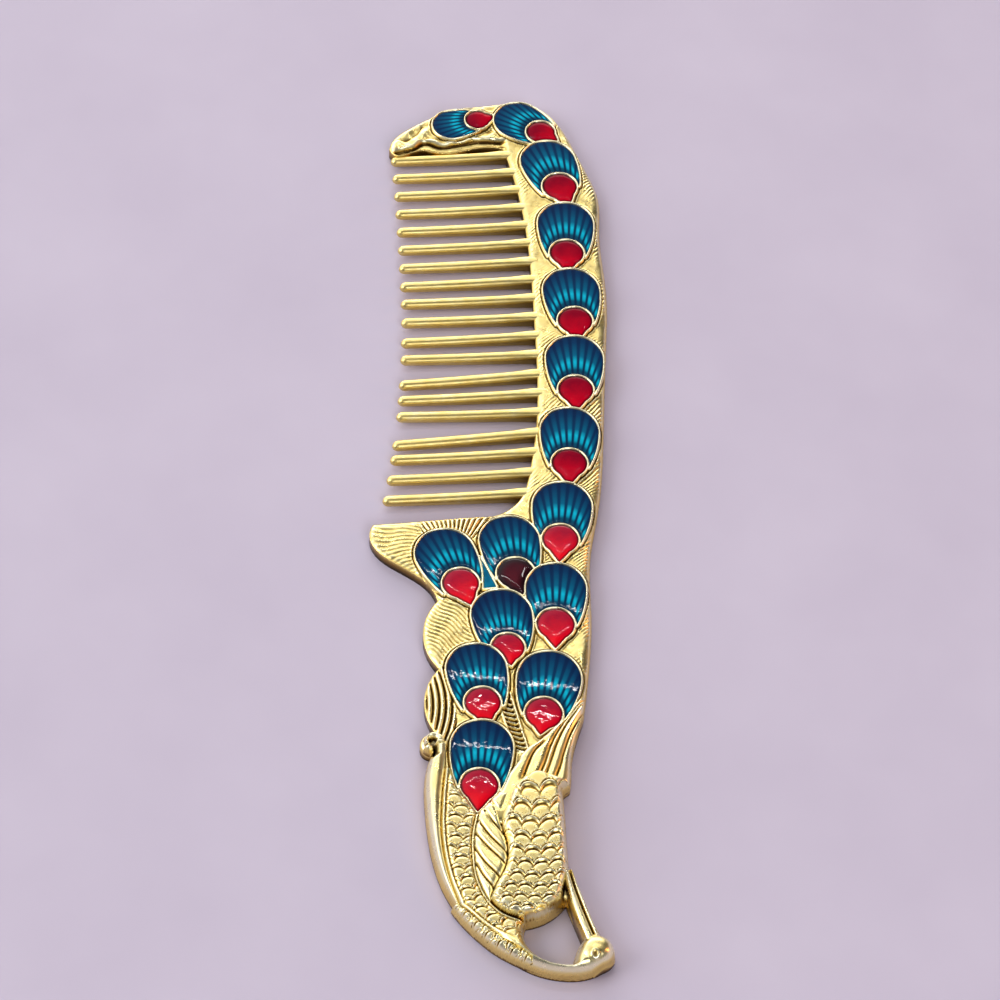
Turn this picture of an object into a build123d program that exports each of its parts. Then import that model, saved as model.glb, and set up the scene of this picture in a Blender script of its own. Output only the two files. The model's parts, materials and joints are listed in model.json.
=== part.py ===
"""Peacock hair comb: one gold-plated casting with teeth, and enamel laid into its feather cells.

The comb lies on its flat back. +Y runs from the peacock's neck to the top guard, the teeth point
to -X, and +Z is up, out of the enamelled face. The origin is the centre of the footprint, on the
table. All sizes are in millimetres.
"""

from build123d import *
from math import cos, radians, sin
from typing import NamedTuple
import os

# ---- driving dimensions ----
PLATE_TOP = 2.6  # the casting's ground, above the back
RIM_TOP = 3.1  # the wires that wall in the enamel
CELL_FLOOR = 2.1
ENAMEL_TOP = 3.05
RIM_WIDTH = 0.42
DIVIDER_WIDTH = 0.4  # the wire between a feather's fan and its eye
HORN_LENGTH = 0.9  # how far the fan reaches down beside its eye
SMALLEST_CELL = 0.4  # mm2; anything smaller is left as metal

# Teeth
TOOTH_COUNT = 19
TOOTH_PITCH = 4.317
TOP_ROOT_Y = 79.3
TOOTH_DROP = 1.0  # a tooth's tip lies this far below its root
BENT_TEETH = {9: 0.7, 10: 0.7, 12: 0.5, 13: 1.9, 15: 0.2, 16: 2.2}  # tooth number: its own drop
ROOT_WIDTH, ROOT_BOTTOM, ROOT_TOP = 2.0, 0.2, 2.45
TIP_WIDTH, TIP_BOTTOM, TIP_TOP = 1.7, 0.5, 2.1
TIP_FILLET = 0.45
ROOT_X = 10.0  # inside the casting, where a tooth is cut off
TIP_LINE_X, TIP_LINE_Y = -15.0, 46.0  # where the line of tips stands furthest in
TIP_CURVE_UP, TIP_CURVE_DOWN = 0.00065, 0.0022  # 1/mm, how it bends away above and below

# The peacock's relief, above the plate
BODY_TOP = 6.0
NECK_TOP = 4.1
SCROLL_TOP = 3.9
WING_TOP = 4.3
BEAK_TOP = 3.9
HEAD_CENTRE = (10.9, -87.4)
HEAD_RADIUS = 3.1
HEAD_TOP = 4.7
BODY_CENTRE, BODY_REACH = (0.6, -69.4), (8.2, 13.8)
NECK_BEVEL, SCROLL_BEVEL, WING_BEVEL, BEAK_BEVEL = 0.4, 0.4, 0.25, 0.2
CURL_CENTRE = (-13.1, -49.3)
CURL_RADIUS = 1.9
CURL_WIRE, CURL_BALL, CURL_DEPTH = 0.6, 0.7, 0.7
BEAK_TIP = ((7.8, -73.8), (7.2, -74.0))
BEAK_BASE = ((7.2, -77.6), (9.2, -84.2), (11.9, -84.2))
BEAK_GROOVE_DEPTH = 0.5
BEAK_GROOVE = ((7.5, -75.0), (10.3, -84.0), (10.7, -84.0))


class Feather(NamedTuple):
    """A peacock feather: a fan with an eye below it, in a teardrop that ends in a tip."""

    x: float  # the fan's centre
    y: float
    heading: float  # degrees, from the fan's centre to the tip
    radius: float = 5.4  # the fan's, out to the rim's outer edge
    reach: float = 13.4  # from the fan's centre to the tip
    eye_at: float = 7.0  # from the fan's centre to the eye's
    eye_radius: float = 3.0

    def plane(self, height):
        """The feather's own sketch plane: origin at the fan's centre, the tip towards -Y."""
        across = radians(self.heading + 90)
        return Plane((self.x, self.y, height), x_dir=(cos(across), sin(across), 0))

    def side_arc(self, inset):
        """Radius of the teardrop's side, which leaves the fan at its widest and ends at the tip."""
        radius, reach = self.radius, self.reach
        return (radius**2 + reach**2) / (2 * radius) - inset

    def half_width(self, along):
        """Half the teardrop's width at a distance along it from the fan's centre."""
        arc = self.side_arc(0)
        return self.radius - arc + (arc**2 - along**2) ** 0.5


# From the first laid to the last: each feather covers the ones before it.
FEATHERS = [
    Feather(-4.2, 86.0, 14, radius=3.8, reach=9.5, eye_at=5.1, eye_radius=2.2),
    Feather(8.3, 87.0, -36, radius=4.8, reach=10.5, eye_at=5.0, eye_radius=2.6),
    Feather(13.3, 76.7, -74, eye_at=6.4, eye_radius=3.1),
    Feather(15.6, 61.5, -92),
    Feather(15.6, 45.7, -88),
    Feather(15.2, 30.1, -92),
    Feather(13.3, 14.0, -94),
    Feather(11.0, -2.1, -96),
    Feather(1.6, -9.2, -84, eye_at=6.8, eye_radius=3.1),
    Feather(8.9, -19.1, -94, eye_at=7.3, eye_radius=3.1),
    Feather(-9.4, -11.7, -69, eye_at=6.6),
    Feather(-0.5, -24.3, -84, reach=12.0, eye_at=6.6, eye_radius=2.7),
    Feather(6.7, -37.0, -101, radius=5.6, reach=12.8, eye_at=7.0),
    Feather(-5.2, -35.0, -84, radius=5.3, eye_at=6.6, eye_radius=2.9),
    Feather(-5.0, -50.0, -96, reach=13.9, eye_at=7.3),
]

# Leaf-shaped covert feathers at the root of the tail: start, tip, and how far each side bows out.
COVERTS = {
    "wing_covert_inner": ((-1.3, -60.0), (9.0, -45.2), 2.1, -0.6),
    "wing_covert_middle": ((2.4, -55.4), (10.2, -45.4), 0.9, 0.7),
    "wing_covert_outer": ((6.4, -57.4), (11.6, -44.8), 1.6, 0.4),
    "wing_covert_left": ((-6.2, -65.0), (-1.7, -57.4), 0.4, 1.8),
}


# ---- outlines ----
def frame_outline():
    """The casting's silhouette, drawn clockwise from the top guard's tip."""
    crown = Spline(
        (-15.9, 80.6), (-14.9, 83.0), (-12.4, 85.4), (-8.4, 88.0), (-4.2, 90.2),
        (2.0, 91.2), (8.0, 92.0), (12.3, 91.1), (15.4, 87.9), (17.8, 82.6),
        (20.4, 75.0), (22.0, 69.0), (21.7, 60.0), (22.0, 47.0), (21.0, 32.5),
        (19.3, 14.0), (17.3, -2.0), (15.1, -13.0), (14.6, -24.0), (13.3, -36.0),
        (11.9, -44.6),
    )
    wing_edge = Spline(crown @ 1, (10.5, -48.4), (9.5, -52.6), (9.2, -55.8), (8.9, -57.6))
    wing_tip = Line(wing_edge @ 1, (7.7, -58.6))
    flank = Line(wing_tip @ 1, (7.8, -73.2))
    beak_edge = Line(flank @ 1, (12.3, -84.7))
    head = ThreePointArc(beak_edge @ 1, (14.0, -87.4), (11.9, -90.1))
    throat = Spline(
        head @ 1, (9.3, -91.2), (5.5, -91.3), (1.0, -90.0), (-3.9, -86.5),
        (-8.4, -81.9), (-11.9, -76.2), (-13.9, -69.0), (-14.6, -61.0),
        (-14.3, -54.0), (-13.4, -50.9),
    )
    curl = ThreePointArc(throat @ 1, (-15.0, -49.1), (-11.9, -47.5))
    lower_lobe = ThreePointArc(curl @ 1, (-14.0, -40.6), (-11.3, -34.4))
    upper_lobe = ThreePointArc(lower_lobe @ 1, (-13.7, -27.6), (-11.0, -20.9))
    heel = Spline(
        upper_lobe @ 1, (-13.4, -16.5), (-18.0, -13.0), (-21.1, -10.0),
        (-22.0, -7.4), (-21.3, -5.1),
    )
    heel_top = Spline(heel @ 1, (-17.0, -4.8), (-12.0, -4.4), (-6.0, -3.9), (-0.8, -3.6))
    roots = Spline(
        heel_top @ 1, (3.6, -0.6), (6.1, 6.5), (8.0, 19.0), (8.6, 38.0),
        (8.6, 54.0), (7.5, 68.5), (5.2, 80.4),
    )
    guard_edge = Spline(
        roots @ 1, (1.0, 80.7), (-2.6, 79.8), (-6.4, 79.4), (-10.4, 80.1),
        (-14.2, 78.8), crown @ 0,
    )
    return [
        crown, wing_edge, wing_tip, flank, beak_edge, head, throat, curl, lower_lobe, upper_lobe,
        heel, heel_top, roots, guard_edge,
    ]


def neck_loop_outline():
    """The hole between the bird's breast, its bent neck and its beak."""
    breast = Spline((6.9, -78.4), (5.4, -80.0), (3.2, -81.4), (0.4, -82.2))
    inner_neck = Spline(breast @ 1, (0.0, -84.6), (1.4, -87.4), (4.4, -89.2), (7.2, -89.5))
    face = ThreePointArc(inner_neck @ 1, (7.7, -87.6), (9.0, -85.3))
    beak = Line(face @ 1, (6.9, -78.4))
    return [breast, inner_neck, face, beak]


def neck_outline():
    """The scaled neck, from beside the tail's last feather round to the head."""
    outer = Spline((-10.9, -57.4), (-12.0, -62.0), (-12.1, -69.0), (-10.9, -75.2), (-9.9, -78.6))
    step = Line(outer @ 1, (-10.9, -78.2))
    throat = Spline(step @ 1, (-7.9, -81.8), (-3.6, -86.1), (1.2, -89.4), (5.0, -90.8), (7.4, -90.9))
    chin = Line(throat @ 1, (7.5, -89.9))
    inner = Spline(chin @ 1, (4.2, -89.6), (0.9, -87.8), (-0.5, -84.6), (-0.4, -82.4))
    breast = Spline(inner @ 1, (-4.0, -80.9), (-6.6, -77.2), (-7.5, -71.0), (-6.9, -65.0))
    tail = Line(breast @ 1, (-10.3, -56.6))
    close = Line(tail @ 1, outer @ 0)
    return [outer, step, throat, chin, inner, breast, tail, close]


def body_outline():
    """The bird's breast, between the neck, the tail coverts and the loop."""
    return [
        Spline(
            (-6.3, -67.0), (-7.0, -72.0), (-6.1, -77.2), (-3.4, -80.6), (0.2, -81.6),
            (3.6, -80.2), (6.0, -77.2), (7.0, -72.6), (7.4, -64.0), (6.4, -58.0),
            (3.4, -56.6), (0.4, -59.8), (-2.8, -65.4), (-6.3, -67.0),
        )
    ]


def scroll_outline():
    """The smooth band down the left edge, under its curl."""
    outer = Spline((-13.0, -51.1), (-14.0, -56.0), (-14.2, -63.0), (-13.3, -70.4), (-11.2, -77.2))
    foot = Line(outer @ 1, (-10.3, -77.0))
    inner = Spline(foot @ 1, (-11.3, -74.0), (-12.4, -68.6), (-12.3, -62.0), (-11.0, -55.0), (-10.8, -49.2))
    close = Line(inner @ 1, (-12.0, -50.6))
    return [outer, foot, inner, close, Line(close @ 1, outer @ 0)]


def face_of(lines, height):
    """The flat face that a loop of lines bounds, at a height."""
    with BuildSketch(Plane.XY.offset(height)) as sketch:
        with BuildLine():
            add(lines())
        make_face()
    return sketch.sketch


def teardrop(feather, inset, height):
    """A feather's whole outline, its edge moved in by inset."""
    radius, arc = feather.radius - inset, feather.side_arc(inset)
    tip = (arc**2 - (arc - radius) ** 2) ** 0.5
    turn = radians(30)  # a point on each side, well short of the tip
    along = arc * sin(turn) if arc * sin(turn) < tip else tip / 2
    across = radius - arc + (arc**2 - along**2) ** 0.5
    with BuildSketch(feather.plane(height)) as outline:
        with BuildLine():
            ThreePointArc((-radius, 0), (0, radius), (radius, 0))
            ThreePointArc((radius, 0), (across, -along), (0, -tip))
            ThreePointArc((0, -tip), (-across, -along), (-radius, 0))
        make_face()
    return outline.sketch


def covert(name, height):
    """A covert's leaf outline: two arcs between its ends."""
    start, end, left, right = COVERTS[name]
    with BuildSketch(Plane.XY.offset(height)) as leaf:
        with BuildLine():
            SagittaArc(start, end, left)
            SagittaArc(end, start, right)
        make_face()
    return leaf.sketch


def uncovered_teardrop(feather, height):
    """A feather's whole outline less the coverts that lie over it."""
    with BuildSketch(Plane.XY.offset(height)) as outline:
        add(teardrop(feather, 0, height))
        for name in COVERTS:
            add(covert(name, height), mode=Mode.SUBTRACT)
    return outline.sketch


def covers(index, height):
    """All that lies over one feather: the later feathers, the coverts and the bird."""
    later = [teardrop(feather, 0, height) for feather in FEATHERS[index + 1 :]]
    return later + [covert(name, height) for name in COVERTS]


def below(feather, along, height):
    """The half-plane from a distance along the feather down past its tip."""
    depth = 2 * feather.reach
    with BuildSketch(feather.plane(height)) as half:
        with Locations((0, -along - depth / 2)):
            Rectangle(4 * feather.radius, depth)
    return half.sketch


def disc(feather, radius, height):
    """A disc on the feather's eye."""
    with BuildSketch(feather.plane(height)) as circle:
        with Locations((0, -feather.eye_at)):
            Circle(radius)
    return circle.sketch


def kept(sketch):
    """The faces of a sketch that are large enough to hold enamel."""
    return [face for face in sketch.faces() if face.area > SMALLEST_CELL]


def fan_cell(index, height):
    """The fan's cell: the teardrop less its eye, the half below it and all that covers it."""
    feather = FEATHERS[index]
    with BuildSketch(Plane.XY.offset(height)) as cell:
        add(teardrop(feather, RIM_WIDTH, height))
        add(disc(feather, feather.eye_radius + DIVIDER_WIDTH, height), mode=Mode.SUBTRACT)
        add(below(feather, feather.eye_at + HORN_LENGTH, height), mode=Mode.SUBTRACT)
        for cover in covers(index, height):
            add(cover, mode=Mode.SUBTRACT)
    return kept(cell.sketch)


def eye_cell(index, height):
    """The eye's cell: a disc, and below it the narrowing rest of the teardrop."""
    feather = FEATHERS[index]
    side_wall = feather.half_width(feather.eye_at) - feather.eye_radius
    with BuildSketch(Plane.XY.offset(height)) as cell:
        add(teardrop(feather, side_wall, height))
        add(below(feather, feather.eye_at, height), mode=Mode.INTERSECT)
        add(disc(feather, feather.eye_radius, height))
        add(teardrop(feather, RIM_WIDTH, height), mode=Mode.INTERSECT)
        for cover in covers(index, height):
            add(cover, mode=Mode.SUBTRACT)
    return kept(cell.sketch)


def filler_cell(height):
    """The leftover of ground between three feathers on the handle, filled with blue."""
    with BuildSketch(Plane.XY.offset(height)) as cell:
        with BuildLine():
            Polyline((-3.5, -12.6), (-3.9, -19.0), (-1.1, -18.7), close=True)
        make_face()
        for feather in FEATHERS:
            add(teardrop(feather, 0, height), mode=Mode.SUBTRACT)
    return kept(cell.sketch)


# ---- pieces ----
def make_frame():
    """The casting: plate, neck loop, rims round the feathers and the cells cut into them."""
    with BuildPart() as frame:
        add(face_of(frame_outline, 0))
        extrude(amount=PLATE_TOP)
        add(face_of(neck_loop_outline, 0))
        extrude(amount=PLATE_TOP, mode=Mode.SUBTRACT)
        for feather in FEATHERS:
            extrude(uncovered_teardrop(feather, PLATE_TOP), amount=RIM_TOP - PLATE_TOP)
        for cell in cells(CELL_FLOOR).values():
            extrude(cell, amount=RIM_TOP - CELL_FLOOR, mode=Mode.SUBTRACT)
    return frame


def cells(height):
    """Every enamel cell by the name of the enamel that fills it."""
    found = {}
    for index in range(len(FEATHERS)):
        found[f"fan_enamel_{index + 1:02d}"] = fan_cell(index, height)
        found[f"eye_enamel_{index + 1:02d}"] = eye_cell(index, height)
    found["filler_enamel"] = filler_cell(height)
    return found


def make_tooth(number, frame):
    """One tooth, tapering in width and height to a rounded tip, cut off at the casting's edge."""
    root_y = TOP_ROOT_Y - (number - 1) * TOOTH_PITCH
    tip_y = root_y - BENT_TEETH.get(number, TOOTH_DROP)
    from_middle = tip_y - TIP_LINE_Y
    curve = TIP_CURVE_UP if from_middle > 0 else TIP_CURVE_DOWN
    root = Vector(ROOT_X, root_y, 0)
    tip = Vector(TIP_LINE_X - curve * from_middle**2, tip_y, 0)
    with BuildPart() as blank:
        for end, width, bottom, top in (
            (root, ROOT_WIDTH, ROOT_BOTTOM, ROOT_TOP),
            (tip, TIP_WIDTH, TIP_BOTTOM, TIP_TOP),
        ):
            middle = end + Vector(0, 0, (bottom + top) / 2)
            with BuildSketch(Plane(middle, x_dir=(0, 0, 1), z_dir=(tip - root).normalized())):
                RectangleRounded(top - bottom, width, 0.4 * width)
        loft()
        fillet(blank.faces().sort_by(Axis.X)[0].edges(), TIP_FILLET)
        add(frame.part, mode=Mode.SUBTRACT)
    with BuildPart() as tooth:
        add(blank.solids().sort_by(Axis.X)[0])
    return tooth


def domed(outline, centre, reach, top):
    """A relief on the plate whose outline is cut from an ellipsoid of that reach in X and Y."""
    with BuildPart() as crown:
        Sphere(1)
        scale(by=(*reach, top - PLATE_TOP))
    with BuildPart() as relief:
        add(crown.part.moved(Location((*centre, PLATE_TOP))))
        extrude(outline, amount=top - PLATE_TOP, mode=Mode.INTERSECT)
    return relief


def raised(outline, top, bevel):
    """A flat relief on the plate with its top edges bevelled."""
    with BuildPart() as relief:
        extrude(outline, amount=top - PLATE_TOP)
        chamfer(relief.faces().sort_by(Axis.Z)[-1].edges(), bevel)
    return relief


def visible_covert(name):
    """A covert's outline less the coverts laid over it, which are those named before it."""
    names = list(COVERTS)
    with BuildSketch(Plane.XY.offset(PLATE_TOP)) as leaf:
        add(covert(name, PLATE_TOP))
        for cover in names[: names.index(name)]:
            add(covert(cover, PLATE_TOP), mode=Mode.SUBTRACT)
        add(face_of(body_outline, PLATE_TOP), mode=Mode.SUBTRACT)
    return leaf.sketch


def make_neck():
    """The neck's relief, clear of the tail's last feather."""
    with BuildSketch(Plane.XY.offset(PLATE_TOP)) as outline:
        add(face_of(neck_outline, PLATE_TOP))
        add(teardrop(FEATHERS[-1], 0, PLATE_TOP), mode=Mode.SUBTRACT)
        add(face_of(scroll_outline, PLATE_TOP), mode=Mode.SUBTRACT)
    return raised(outline.sketch, NECK_TOP, NECK_BEVEL)


def make_scroll():
    """The smooth side band with its curl, a ring round a small ball."""
    with BuildPart() as scroll:
        extrude(face_of(scroll_outline, PLATE_TOP), amount=SCROLL_TOP - PLATE_TOP)
        chamfer(scroll.faces().sort_by(Axis.Z)[-1].edges(), SCROLL_BEVEL)
        with BuildSketch(Plane.XY.offset(PLATE_TOP)):
            with Locations(CURL_CENTRE):
                Circle(CURL_RADIUS)
        extrude(amount=SCROLL_TOP - PLATE_TOP)
        with BuildSketch(Plane.XY.offset(SCROLL_TOP)):
            with Locations(CURL_CENTRE):
                Circle(CURL_RADIUS - CURL_WIRE)
                Circle(CURL_BALL, mode=Mode.SUBTRACT)
        extrude(amount=-CURL_DEPTH, mode=Mode.SUBTRACT)
    return scroll


def make_beak():
    """The long beak: two rods side by side, with a groove between them."""
    with BuildPart() as beak:
        with BuildSketch(Plane.XY.offset(PLATE_TOP)):
            with BuildLine():
                Polyline(*BEAK_TIP, *BEAK_BASE, close=True)
            make_face()
        extrude(amount=BEAK_TOP - PLATE_TOP)
        chamfer(beak.faces().sort_by(Axis.Z)[-1].edges(), BEAK_BEVEL)
        with BuildSketch(Plane.XY.offset(BEAK_TOP)):
            with BuildLine():
                Polyline(*BEAK_GROOVE, close=True)
            make_face()
        extrude(amount=-BEAK_GROOVE_DEPTH, mode=Mode.SUBTRACT)
    return beak


def make_head():
    """The round head, flat where it sits on the casting."""
    with BuildSketch(Plane.XY.offset(PLATE_TOP)) as outline:
        with Locations(HEAD_CENTRE):
            Circle(0.95 * HEAD_RADIUS)
    return domed(outline.sketch, HEAD_CENTRE, (HEAD_RADIUS, HEAD_RADIUS), HEAD_TOP)


def save(name, piece):
    """Labels a piece and writes its STEP file."""
    piece.part.label = name
    export_step(piece.part, f"parts/{name}.step")
    return piece


os.makedirs("parts", exist_ok=True)
frame = save("comb_frame", make_frame())
save("scroll_band", make_scroll())
save("peacock_neck", make_neck())
save("peacock_body", domed(face_of(body_outline, PLATE_TOP), BODY_CENTRE, BODY_REACH, BODY_TOP))
save("peacock_head", make_head())
save("peacock_beak", make_beak())
for name in COVERTS:
    save(name, raised(visible_covert(name), WING_TOP, WING_BEVEL))
for number in range(1, TOOTH_COUNT + 1):
    save(f"tooth_{number:02d}", make_tooth(number, frame))
for name, cell in cells(CELL_FLOOR).items():
    with BuildPart() as enamel:
        extrude(cell, amount=ENAMEL_TOP - CELL_FLOOR)
    save(name, enamel)
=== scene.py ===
"""Looks for the peacock hair comb: a cast, gilded comb with teal fans and red eyes in glossy enamel.

Every relief is a heightfield on one shared lattice, clipped to outlines from the CAD, and the parts
of the bird to guide curves too. The teeth are tubes through rings. Work inside this script is in
millimetres, and meshes are written in metres.
"""

import bpy
import json
from math import ceil, cos, floor, pi, radians, sin
from mathutils import Matrix, Vector
from mathutils.geometry import tessellate_polygon
import numpy as np

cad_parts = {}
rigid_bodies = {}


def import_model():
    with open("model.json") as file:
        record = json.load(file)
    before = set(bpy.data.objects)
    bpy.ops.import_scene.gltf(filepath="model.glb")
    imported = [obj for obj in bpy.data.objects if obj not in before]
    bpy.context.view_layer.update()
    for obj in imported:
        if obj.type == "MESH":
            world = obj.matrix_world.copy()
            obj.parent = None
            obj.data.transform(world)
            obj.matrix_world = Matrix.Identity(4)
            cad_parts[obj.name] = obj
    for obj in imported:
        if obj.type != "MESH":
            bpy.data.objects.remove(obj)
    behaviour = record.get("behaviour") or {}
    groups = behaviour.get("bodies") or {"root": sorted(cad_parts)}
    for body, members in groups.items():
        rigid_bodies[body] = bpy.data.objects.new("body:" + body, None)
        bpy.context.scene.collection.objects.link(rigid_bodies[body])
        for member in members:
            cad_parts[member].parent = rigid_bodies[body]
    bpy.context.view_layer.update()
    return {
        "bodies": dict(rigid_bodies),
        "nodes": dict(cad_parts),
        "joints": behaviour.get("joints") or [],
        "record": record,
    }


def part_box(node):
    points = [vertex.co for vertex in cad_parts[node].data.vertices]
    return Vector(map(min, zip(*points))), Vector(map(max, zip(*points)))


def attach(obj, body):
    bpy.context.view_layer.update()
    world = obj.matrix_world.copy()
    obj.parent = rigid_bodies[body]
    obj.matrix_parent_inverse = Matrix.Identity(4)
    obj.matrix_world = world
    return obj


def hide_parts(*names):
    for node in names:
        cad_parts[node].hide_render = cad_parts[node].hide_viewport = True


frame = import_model()

MM = 0.001  # metres in a millimetre
STEP = 0.13  # the lattice's spacing
MARGIN = 0.4  # lattice kept around a piece
REACH = 1.6  # distances to an outline are measured up to here
NODES = frame["nodes"]
FEATHER_COUNT = len([name for name in NODES if name.startswith("fan_enamel")])
TOOTH_COUNT = len([name for name in NODES if name.startswith("tooth")])


def lowest(node):
    """A CAD node's lowest corner, in mm."""
    return np.array(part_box(node)[0]) / MM


def highest(node):
    """A CAD node's highest corner, in mm."""
    return np.array(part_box(node)[1]) / MM


PLATE_TOP = lowest("peacock_neck")[2]
RIM_TOP = highest("comb_frame")[2]
CELL_FLOOR = lowest("filler_enamel")[2]
ENAMEL_TOP = highest("filler_enamel")[2]
RIM_WIDTH = 0.42  # the room that the bird leaves round the enamel
WIRE_MIDDLE = 0.19  # from the enamel to the middle of the wire round it
WIRE_HALF = 0.25  # half a wire's width
SUNK = 0.3  # the level of a relief's underside, inside the plate
WALL_FOOT_SHADE = -0.05  # painted shade: the crest value at the foot of a wall, which makes it dark brown
EDGE_TONE = 0.42  # the crest value along the casting's outline
GUIDE_SAMPLES = 44  # points along a guide curve, more or less
SPLIT_Y = -4.0  # the casting is two meshes, spine and handle, that meet on this line


# ---- outlines from the CAD ----
def outline_of(node, height):
    """The segments (n, 2, 2) that bound a CAD node's flat face at one height."""
    mesh = NODES[node].data
    points = np.zeros(3 * len(mesh.vertices))
    mesh.vertices.foreach_get("co", points)
    mesh.calc_loop_triangles()
    corners = np.zeros(3 * len(mesh.loop_triangles), int)
    mesh.loop_triangles.foreach_get("vertices", corners)
    points = (points.reshape(-1, 3) / MM).round(3)
    unique, same = np.unique(points, axis=0, return_inverse=True)
    triangles = same.ravel()[corners].reshape(-1, 3)
    flat = (np.abs(unique[triangles][:, :, 2] - height) < 0.01).all(axis=1)
    edges = np.sort(triangles[flat][:, [[0, 1], [1, 2], [2, 0]]].reshape(-1, 2), axis=1)
    edges, uses = np.unique(edges, axis=0, return_counts=True)
    return unique[edges[uses == 1]][:, :, :2]


class Patch:
    """A window of the shared lattice: x and y of its points, rows upward along +Y."""

    def __init__(self, x, y):
        self.x, self.y = x, y
        self.left, self.bottom = x[0, 0], y[0, 0]

    def crop(self, part):
        """The part of this patch in one slice of its rows, or in a pair of slices."""
        return Patch(self.x[part], self.y[part])

    def box(self, left, right, low, high):
        """The slices of the lattice inside a rectangle."""
        rows, columns = self.x.shape
        return self.window(low, high, self.bottom, rows), self.window(left, right, self.left, columns)

    def window(self, low, high, origin, count):
        """The slice of lattice lines between two places along an axis."""
        first = max(ceil((low - origin) / STEP), 0)
        last = min(floor((high - origin) / STEP) + 1, count)
        return slice(first, max(last, first))

    def inside(self, segments):
        """True at the lattice points inside an outline, by counting the edges to their left."""
        crossings = np.zeros(self.x.shape, int)
        rows, columns = self.x.shape
        for (x0, y0), (x1, y1) in segments:
            if y0 == y1:
                continue
            low, high = min(y0, y1), max(y0, y1)
            first = max(ceil((low - self.bottom) / STEP), 0)
            last = min(ceil((high - self.bottom) / STEP), rows)
            lines = np.arange(first, last)
            crossing = x0 + (self.bottom + STEP * lines - y0) * (x1 - x0) / (y1 - y0)
            column = np.ceil((crossing - self.left) / STEP).astype(int).clip(0, columns - 1)
            crossings[lines, column] += 1
        return np.cumsum(crossings, axis=1) % 2 == 1

    def depth(self, segments):
        """Distance inside an outline, negative outside it, and never more than REACH."""
        distance = np.full(self.x.shape, REACH)
        for start, end in segments:
            low, high = np.minimum(start, end) - REACH, np.maximum(start, end) + REACH
            part = self.box(low[0], high[0], low[1], high[1])
            x, y = self.x[part] - start[0], self.y[part] - start[1]
            along = end - start
            share = ((x * along[0] + y * along[1]) / max(along @ along, 1e-9)).clip(0, 1)
            here = np.hypot(x - share * along[0], y - share * along[1])
            distance[part] = np.minimum(distance[part], here)
        return np.where(self.inside(segments), distance, -distance)


def patch_round(low, high):
    """The patch that covers a box, with a margin."""
    first = [floor((low[axis] - MARGIN) / STEP) for axis in (0, 1)]
    last = [ceil((high[axis] + MARGIN) / STEP) for axis in (0, 1)]
    across, along = (STEP * np.arange(first[axis], last[axis] + 1) for axis in (0, 1))
    return Patch(*np.meshgrid(across, along))


# ---- meshes from heightfields ----
CORNERS = ((0, 0), (0, 1), (1, 1), (1, 0))  # a square's corners (row, column), anticlockwise
CLEARANCE = 0.04  # a crossing keeps this share of its lattice edge away from either end


def square_template(case):
    """How a clipped square is walked: corners 0-3 and crossings 4-7, for one pattern of corners in."""
    within = [bool(case & (1 << corner)) for corner in range(4)]
    walk = []
    for corner in range(4):
        if within[corner]:
            walk.append(corner)
        if within[corner] != within[(corner + 1) % 4]:
            walk.append(4 + corner)
    return walk


def clip(depth):
    """The lattice squares, cut to where depth is above zero: one array of point ids for each shape.

    A lattice point's id is its place in the patch. Crossings come next, on rows and then on columns.
    """
    rows, columns = depth.shape
    size = rows * columns
    row, column = np.meshgrid(np.arange(rows - 1), np.arange(columns - 1), indexing="ij")
    within = depth > 0
    corner_ids = [(row + down) * columns + column + right for down, right in CORNERS]
    case = sum(within.ravel()[ids] * (1 << number) for number, ids in enumerate(corner_ids))
    base = row * columns + column
    crossing_ids = [size + base, 2 * size + base + 1, size + base + columns, 2 * size + base]
    ids = np.stack(corner_ids + crossing_ids)
    return [
        ids[square_template(number)][:, case == number].T
        for number in range(1, 16)
        if (case == number).any()
    ]


def place(patch, depth, ids, *layers):
    """x and y, then each layer's value, at lattice points and crossings."""
    size = depth.size
    columns = depth.shape[1]
    start = ids % size
    end = start + np.choose(ids // size, [0, 1, columns])
    flat = depth.ravel()
    gap = flat[start] - flat[end]
    crossing = (flat[start] / np.where(gap == 0, 1, gap)).clip(CLEARANCE, 1 - CLEARANCE)
    share = np.where(ids < size, 0, crossing)
    values = [patch.x, patch.y, *layers]
    return [v.ravel()[start] * (1 - share) + v.ravel()[end] * share for v in values]


def open_edges(shapes):
    """The directed edges (n, 2) that only one face of a set of shapes has."""
    pairs = [np.stack([faces, np.roll(faces, -1, axis=1)], axis=2) for faces in shapes]
    edges = np.concatenate([pair.reshape(-1, 2) for pair in pairs])
    span = edges.max() + 1
    forward = edges[:, 0] * span + edges[:, 1]
    backward = edges[:, 1] * span + edges[:, 0]
    return edges[~np.isin(forward, backward)]


def loops_of(edges):
    """Directed edges chained into closed loops of point ids."""
    following = dict(edges.tolist())
    loops = []
    while following:
        here = next(iter(following))
        loop = []
        while here in following:
            loop.append(here)
            here = following.pop(here)
        loops.append(loop)
    return loops


def add_object(name, data):
    """Puts a mesh, light or camera in the scene."""
    thing = bpy.data.objects.new(name, data)
    bpy.context.scene.collection.objects.link(thing)
    return thing


def add_attribute(mesh, label, values):
    """Gives a mesh one number at each point, which its material reads."""
    layer = mesh.attributes.new(label, "FLOAT", "POINT")
    layer.data.foreach_set("value", values.astype(np.float32))


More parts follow.
